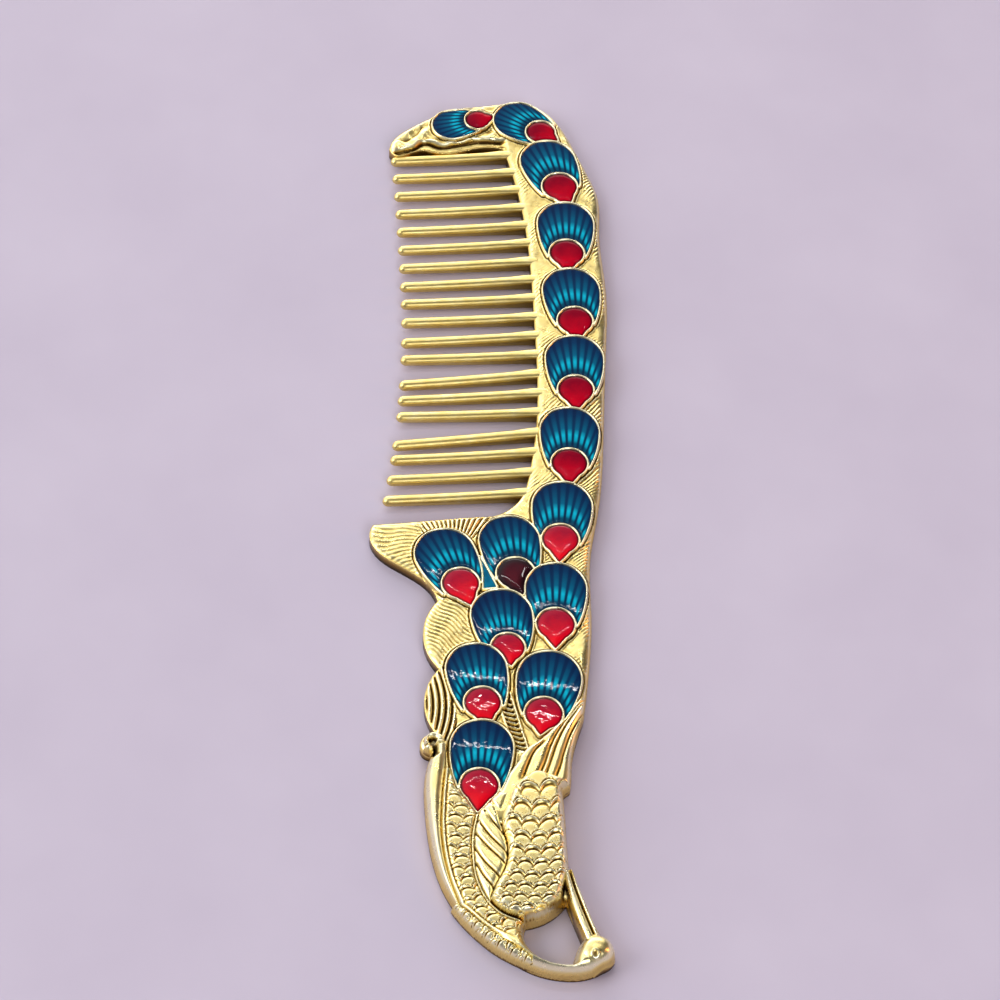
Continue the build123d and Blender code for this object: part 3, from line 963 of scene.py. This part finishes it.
# ---- the peacock ----
# Guides are drawn on the plate. Each part of the bird fills the casting on one side of its guide.
SCROLL_INNER = (
    (-10.6, -48.0), (-10.9, -52.0), (-11.9, -60.0),
    (-12.2, -67.0), (-11.3, -74.0), (-9.8, -79.0),
)
ROPE_INNER = ((-11.2, -78.4), (-9.8, -79.3), (-6.3, -82.8), (-2.0, -86.2), (0.4, -88.0), (3.4, -91.6))
BODY_LEFT = (
    (-3.4, -57.0), (-6.3, -63.5), (-7.2, -70.5), (-6.3, -76.4),
    (-3.8, -80.4), (0.6, -82.6), (3.0, -84.0),
)
SCALES_TOP = (
    (-8.4, -67.0), (-5.8, -65.6), (-3.2, -61.4), (0.2, -57.6),
    (3.0, -55.4), (6.4, -56.4), (10.0, -58.4),
)
BREAST_RIGHT = (
    (0.6, -55.0), (-1.6, -60.5), (-2.9, -64.5), (-2.2, -69.0),
    (-2.6, -72.5), (-4.4, -76.0), (-5.6, -79.0),
)
BREAST_GROOVES = (
    ((-6.3, -64.4), (-4.6, -67.2), (-1.9, -70.4)),
    ((-5.2, -62.6), (-3.6, -65.2), (-1.6, -67.6)),
    ((-6.9, -66.6), (-5.2, -69.0), (-2.6, -72.0)),
    ((-7.2, -69.2), (-5.7, -71.8), (-3.6, -74.4)),
    ((-7.0, -72.2), (-5.8, -74.6), (-4.4, -76.6)),
    ((-4.6, -60.0), (-3.2, -62.6), (-2.6, -65.0)),
)
BREAST_END = ((9.6, -70.0), (7.9, -73.2), (6.9, -76.0), (6.4, -79.0), (6.0, -84.0))
COVERT_GROOVES = (
    ((-3.6, -61.0), (-2.6, -58.4), (-1.9, -56.0), (-0.6, -54.4), (0.6, -53.0)),
    ((-4.6, -60.4), (-4.0, -57.8), (-3.2, -55.0)),
    ((1.2, -56.6), (2.2, -54.0), (3.3, -51.6), (5.0, -49.6)),
    ((3.6, -56.6), (4.8, -54.0), (6.0, -50.6), (8.0, -46.8), (10.8, -43.0), (12.8, -40.6)),
    ((5.0, -55.8), (6.1, -52.8), (7.1, -50.0), (8.9, -46.4), (11.4, -42.8)),
    ((5.8, -58.0), (7.2, -54.8), (8.2, -51.6), (9.3, -48.6), (11.0, -45.4), (12.9, -42.0)),
)
COVERT_EDGE = (
    (-6.4, -65.0), (-3.8, -60.5), (-0.6, -55.4), (2.2, -51.2),
    (4.6, -49.4), (8.0, -46.0), (11.6, -41.6),
)
NECK_MIDDLE = ((-9.4, -56), (-9.9, -64), (-9.2, -72), (-6.0, -79.5), (-2.4, -84.6), (1.6, -88.4))
ROPE_MIDDLE = ((-11.6, -78.0), (-8.4, -82.6), (-5.0, -86.2), (-1.4, -88.8), (3.0, -91.0))
BEAK_GROOVE = ((7.6, -73.3), (8.2, -76.4), (9.3, -80.6), (10.7, -85.2))
CURL_CENTRE = (-12.9, -49.1)
CURL_BALL = (-13.75, -50.4)
BIRD_TOP = -38.0  # nothing of the bird lies above this y
BIRD_INSET = 0.03  # how far the bird stays inside the casting's outline


class Bird:
    """What the bird's parts share: a patch, the casting's depth and the room round the enamel."""

    def __init__(self):
        self.patch = patch_round(lowest("comb_frame"), (highest("comb_frame")[0], BIRD_TOP))
        self.shape = self.patch.depth(outline_of("comb_frame", 0)) - BIRD_INSET
        cells = np.concatenate([outline_of(name, ENAMEL_TOP) for name in ENAMELS])
        self.room = -self.patch.depth(cells) - RIM_WIDTH

    def side(self, guide):
        """Distance to the left of a guide, negative to its right."""
        return beside(self.patch, guide)

    def relief(self, name, depth, rise, *nodes, overhang=0.0):
        """One part of the bird, cropped to where it lies; overhang is how far it leaves the casting."""
        used = (np.flatnonzero((depth > 0).any(axis=axis)) for axis in (1, 0))
        crop = tuple(slice(max(lines[0] - 2, 0), lines[-1] + 3) for lines in used)
        part = self.patch.crop(crop)
        height = PLATE_TOP + 0.05 + rise[crop] - edge_fall(part, self.shape[crop])
        crest = even_edge(crest_of(height, 10), (self.shape + overhang)[crop])
        piece = relief(name, part, depth[crop], height, SUNK, crest=crest)
        finish_piece(piece, GOLD, "gold_plate", *nodes)


def make_body(bird):
    """The breast: a swelling covered in scales whose free ends point up to the tail."""
    x, y = bird.patch.x, bird.patch.y
    room = least(bird.shape, bird.side(BODY_LEFT), bird.side(BREAST_RIGHT), bird.room)
    depth = least(room, 0.2 - bird.side(SCALES_TOP), -bird.side(BREAST_END), y + 82.8)
    top = highest("peacock_body")[2] - PLATE_TOP
    swell = top * (0.30 * rounded(depth, 0.9) + 0.72 * rounded(depth - 0.3, 6.5))
    size = 1.0 + 0.016 * (y + 70)  # the scales shrink towards the neck
    pattern = scales((x - 0.6) / size, (y + 84.0) / size, 2.6, 1.9)
    rise = swell + 0.60 * pattern * smooth(0.05, 0.6, depth)
    bird.relief("bird_breast", depth, rise, "peacock_body")


def make_breast(bird):
    """Thin leaf feathers that slant down the left of the breast."""
    beside_scales = np.minimum(bird.side(BODY_LEFT), 0.25 - bird.side(BREAST_RIGHT))
    depth = least(bird.shape, beside_scales, bird.room, -59.0 - bird.patch.y)
    rise = 0.9 * rounded(depth, 1.2) + 0.75 * rounded(nearest(bird.patch, BREAST_GROOVES), 0.75)
    bird.relief("bird_breast_leaves", depth, rise, "wing_covert_left")


def make_coverts(bird):
    """Long covert feathers side by side, from the breast up to the comb's edge."""
    lower_end = smooth(-66, -60, bird.patch.y) * 3 - 0.3
    depth = least(bird.shape, 0.25 - bird.side(COVERT_EDGE), bird.room + 0.2, lower_end)
    swell = 0.35 * rounded(depth, 0.6) + 0.55 * rounded(depth, 2.6) - 0.1
    rise = swell + 0.75 * rounded(nearest(bird.patch, COVERT_GROOVES), 1.1)
    nodes = ("wing_covert_inner", "wing_covert_middle", "wing_covert_outer")
    bird.relief("bird_coverts", depth, rise, *nodes)


def neck_outer(bird):
    """Distance inside the neck's outer edge: along the scroll band, then the rope, then nothing."""
    patch = bird.patch
    scroll, rope = bird.side(SCROLL_INNER), bird.side(ROPE_INNER)
    bend = np.minimum(scroll, rope)
    outer = np.where(patch.y > -78.6, scroll, np.where(patch.y > -81, bend, rope))
    return np.where(patch.x > 1.0, REACH + 2, outer)


def make_neck(bird):
    """The neck: a band of soft scales inside two beads, running into a smooth tube round the loop."""
    patch = bird.patch
    outer, inner = neck_outer(bird), -bird.side(BODY_LEFT)
    loop_end = np.where(patch.y > -86.5, 3.4 - patch.x, REACH)
    depth = least(bird.shape, outer + 0.15, inner + 0.2, bird.room, -54.0 - patch.y, loop_end)
    along, across = follow(patch, NECK_MIDDLE)
    beads = smooth(0.40, 0.0, np.abs(outer - 0.35)) + smooth(0.32, 0.0, np.abs(inner - 0.15))
    pattern = scales(across, -along, 2.4, 1.9) * smooth(0.55, 1.1, outer) * smooth(0.3, 0.8, inner)
    band = 0.85 * rounded(depth, 1.2) + 0.35 * beads + 0.55 * pattern
    tube = 1.75 * rounded(bird.shape, 2.0)
    share = smooth(-82.5, -87.0, patch.y)
    bird.relief("bird_neck", depth, band * (1 - share) + tube * share, "peacock_neck")


def make_scroll(bird):
    """The smooth rounded band down the left edge, under its curl."""
    patch = bird.patch
    past_curl = patch.x + 12.4 + 2.6 * smooth(-51.3, -53.6, patch.y)
    ends = np.minimum(patch.y + 79.2, -49.2 - patch.y)
    band = least(bird.shape, -bird.side(SCROLL_INNER), ends, past_curl)
    bird.relief("bird_scroll", band, 1.45 * rounded(band, 1.3), "scroll_band")


def make_curl(bird):
    """The scroll's curl: the band bends over like a cane's handle and ends in a small ball."""
    x, y = bird.patch.x - CURL_CENTRE[0], bird.patch.y - CURL_CENTRE[1]
    thickness = 0.60 + 0.20 * (x / 1.1).clip(-1, 1)
    ring = np.minimum(thickness - np.abs(np.hypot(x, y) - 1.1), y + 0.6)
    ball = 0.85 - np.hypot(bird.patch.x - CURL_BALL[0], bird.patch.y - CURL_BALL[1])
    depth = np.minimum(np.maximum(ring, ball), bird.shape)
    rise = np.maximum(1.45 * rounded(ring, 0.7), 1.3 * rounded(ball, 0.85))
    bird.relief("bird_curl", depth, 0.10 + rise)


def make_rope(bird):
    """The scaled rope along the lower left edge, blunt where it meets the scroll band."""
    patch = bird.patch
    ends = np.minimum(0.25 * (patch.x + 11) - 78.9 - patch.y, 4.5 - patch.x)
    overhang = 0.7 * smooth(1.0, -6.0, patch.x)
    depth = least(bird.shape + overhang, -bird.side(ROPE_INNER), ends)
    along, across = follow(patch, ROPE_MIDDLE)
    pattern = scales(across + 0.2, -along, 1.7, 1.25)
    rise = 0.8 * rounded(depth, 0.8) + 0.75 * pattern
    rise += edge_fall(patch, bird.shape) - 2.4 * (1 - rounded(bird.shape + overhang, 2.0))
    bird.relief("bird_rope", depth, rise, overhang=overhang)


def make_head(bird):
    """The round head, with a small ringed eye."""
    patch = bird.patch
    low, high = lowest("peacock_head"), highest("peacock_head")
    middle_x, middle_y = (low[:2] + high[:2]) / 2 - (0.0, 0.5)
    radius = (high[0] - low[0]) / 2 + 0.15
    inside = radius - np.hypot(patch.x - middle_x, patch.y - middle_y)
    eye = np.hypot(patch.x - middle_x + 0.3, 0.8 * (patch.y - middle_y + 1.1))
    rise = (high[2] - PLATE_TOP + 0.3) * rounded(inside, radius)
    rise += 0.10 * smooth(0.22, 0.0, np.abs(eye - 0.55)) - 0.12 * smooth(0.45, 0.1, eye)
    bird.relief("bird_head", np.minimum(inside, bird.shape + 0.2), rise, "peacock_head")


def make_beak(bird):
    """The beak: a stout rod on the left and a thin one on the right of a groove, down to the head."""
    along, across = follow(bird.patch, BEAK_GROOVE)
    blunt = rounded(along, 0.5)
    stout = blunt * (0.62 + 0.025 * along).clip(0, 0.84)
    thin = blunt * (0.25 + 0.03 * along).clip(0, 0.42)
    left = stout - np.abs(across + stout)
    right = thin - np.abs(across - thin)
    depth = least(np.maximum(left, right), along, bird.shape + 0.9, 12.4 - along)
    rise = 0.1 + np.maximum(1.5 * rounded(left, 0.8), 1.15 * rounded(right, 0.45))
    bird.relief("bird_beak", depth, rise + edge_fall(bird.patch, bird.shape), "peacock_beak")


# ---- teeth ----
TOOTH_SIDES = 20
TOOTH_RINGS = 60
RING_CROWDING = 1.35  # draws the rings together towards the tip
WIDENING = 1.08  # a cast tooth's width as a share of the CAD tooth's
NOSE = 1.1  # how far from its end a tooth's tip is rounded
ROOT_SUNK = 1.8  # how far a tooth runs on inside the casting


def tooth_end(points, low, high):
    """The middle of a tooth's points between two places in x, and their reach in y and z."""
    near = points[(points[:, 0] >= low) & (points[:, 0] <= high)]
    return (near.min(axis=0) + near.max(axis=0)) / 2, (near.max(axis=0) - near.min(axis=0)) / 2


def tooth_ring(x, y, half_width, bottom, top, nose, squareness):
    """One cross-section of a tooth: crowned above its widest line and flatter below it."""
    angle = np.linspace(0, 2 * pi, TOOTH_SIDES, endpoint=False)
    across, up = np.cos(angle), np.sin(angle)
    wide = np.sign(across) * np.abs(across) ** squareness * half_width
    middle = bottom + 0.35 * (top - bottom)
    above = (top - middle) * np.abs(up) ** squareness
    below = (bottom - middle) * np.abs(up) ** 0.7
    tall = np.where(up > 0, above, below)
    return np.stack([np.full(TOOTH_SIDES, x), y + nose * wide, middle + nose * tall], axis=1)


def make_tooth(number):
    """A cast tooth: crowned on top, flatter below, round at the tip and flared into the casting."""
    node = f"tooth_{number:02d}"
    points = np.array([vertex.co for vertex in NODES[node].data.vertices]) / MM
    low, high = points.min(axis=0), points.max(axis=0)
    tip, tip_reach = tooth_end(points, low[0], low[0] + 1.0)
    root, root_reach = tooth_end(points, high[0] - 2.5, high[0])
    length = high[0] + ROOT_SUNK - low[0]
    # painted shade: the side of each tooth that faces the handle is painted browner, more so towards the
    # root
    painted_shade_side = smooth(0.15, 0.85, -np.cos(np.linspace(0, 2 * pi, TOOTH_SIDES, endpoint=False)))
    rings, painted_shades = [], []
    for from_tip in length * np.linspace(0, 1, TOOTH_RINGS) ** RING_CROWDING:
        along = from_tip / (root[0] - low[0])
        share = min(along, 1)
        half_width = WIDENING * (tip_reach[1] + (root_reach[1] - tip_reach[1]) * share)
        nose = rounded(from_tip, NOSE).clip(0.06)
        squareness = 0.9 - 0.35 * smooth(5.0, 0.0, high[0] - low[0] - from_tip)
        x, y = low[0] + from_tip, tip[1] + (root[1] - tip[1]) * along
        bottom, top = 0.5 - 0.3 * share, 2.1 + 0.50 * share**2
        rings.append(tooth_ring(x, y, half_width, bottom, top, nose, squareness))
        painted_shades.append(painted_shade_side * (0.25 + 0.75 * share**1.5))
    piece = skin(f"cast_tooth_{number:02d}", np.array(rings))
    add_attribute(piece.data, "shade", np.concatenate(painted_shades))
    finish_piece(piece, TOOTH_GOLD, "gold_plate", node)


def skin(name, rings):
    """A closed tube over rings of points, with flat ends."""
    count, sides = rings.shape[:2]
    ids = np.arange(count * sides).reshape(count, sides)
    after = np.roll(ids, -1, axis=1)
    quads = np.stack([ids[:-1], after[:-1], after[1:], ids[1:]], axis=2).reshape(-1, 4)
    faces = [*quads.tolist(), ids[0, ::-1].tolist(), ids[-1].tolist()]
    mesh = bpy.data.meshes.new(name)
    mesh.from_pydata((rings.reshape(-1, 3) * MM).tolist(), [], faces, shade_flat=False)
    mesh.update()
    return add_object(name, mesh)


# ---- the scene ----
CAMERA_PLACE = (-38.8, -330.5, 452.0)  # mm, the photograph's own viewpoint
CAMERA_AIM = (0.5, 0.0, 2.0)
CAMERA_RIGHT = (0.9999, -0.0083, -0.0088)
LENS = 118
FLOOR_HALF = 3.0  # metres


def make_camera():
    """A camera at the photograph's viewpoint, aimed at the comb's middle."""
    data = bpy.data.cameras.new("camera")
    data.lens = LENS
    data.clip_start, data.clip_end = 0.01, 10
    viewpoint = Vector(CAMERA_PLACE)
    back = (viewpoint - Vector(CAMERA_AIM)).normalized()
    right = Vector(CAMERA_RIGHT)
    right = (right - right.dot(back) * back).normalized()
    turn = Matrix((right, back.cross(right), back)).transposed().to_4x4()
    camera = add_object("camera", data)
    camera.matrix_world = Matrix.Translation(viewpoint * MM) @ turn
    bpy.context.scene.camera = camera


def make_light(name, spot, size, power, colour):
    """A rectangular light, in metres and watts, that faces the comb."""
    data = bpy.data.lights.new(name, "AREA")
    data.shape = "RECTANGLE"
    data.size, data.size_y = size
    data.energy = power
    data.color = colour
    light = add_object(name, data)
    light.location = spot
    light.rotation_euler = (-Vector(spot)).to_track_quat("-Z", "Y").to_euler()


def make_floor():
    """A plain pale floor under the comb."""
    mesh = bpy.data.meshes.new("floor")
    corners = [(FLOOR_HALF * x, FLOOR_HALF * y, 0) for x, y in ((-1, -1), (1, -1), (1, 1), (-1, 1))]
    mesh.from_pydata(corners, [], [(0, 1, 2, 3)])
    mesh.materials.append(floor_material())
    add_object("floor", mesh)


# Brightness of the surroundings, from the dim side to the bright one: position, brightness
SKY = ((0.0, 0.10), (0.12, 0.17), (0.40, 0.47), (0.70, 1.0), (1.0, 1.3))
SKY_LEAN = (-0.75, 0.65, 0.10)  # towards the bright side


def make_world():
    """Surroundings that are bright on the left and behind the comb, and dim overhead and in front."""
    nodes = Nodes("studio", bpy.data.worlds, "Background")
    bpy.context.scene.world = nodes.owner
    lean = nodes.add("ShaderNodeVectorMath", operation="DOT_PRODUCT")
    lean.inputs[1].default_value = Vector(SKY_LEAN).normalized()
    nodes.link(nodes.add("ShaderNodeTexCoord").outputs["Generated"], lean.inputs[0])
    stops = [(position, (level, level, 1.03 * level)) for position, level in SKY]
    nodes.shade(Color=nodes.ramp(lean.outputs["Value"], *stops))


def make_studio():
    """Soft lights on the left, behind and in front, a warm glow from the right, a strip for sparkle."""
    make_world()
    make_light("window", (-1.2, -0.1, 0.7), (0.7, 0.9), 8.0, (1.0, 0.98, 0.94))
    make_light("back", (-0.1, 1.40, 0.50), (1.8, 0.6), 10.0, (1.0, 0.98, 0.94))
    make_light("fill", (0.5, -1.3, 1.1), (0.9, 0.9), 10.5, (0.98, 0.98, 1.0))
    make_light("warm", (1.3, 0.0, 0.22), (0.3, 1.2), 5.0, (1.0, 0.45, 0.16))
    make_light("strip", (0.062, 0.519, 0.9), (0.7, 0.004), 1.05, (1.0, 1.0, 1.0))


def make_bird():
    """The peacock, part by part."""
    bird = Bird()
    for make_part in (
        make_coverts, make_breast, make_body, make_neck, make_scroll,
        make_curl, make_rope, make_beak, make_head,
    ):
        make_part(bird)


bpy.context.scene.view_settings.view_transform = "Standard"
make_floor()
make_studio()
make_camera()
make_casting()
for number in range(1, FEATHER_COUNT + 1):
    make_fan(number)
    make_eye(number)
make_filler()
make_bird()
for number in range(1, TOOTH_COUNT + 1):
    make_tooth(number)
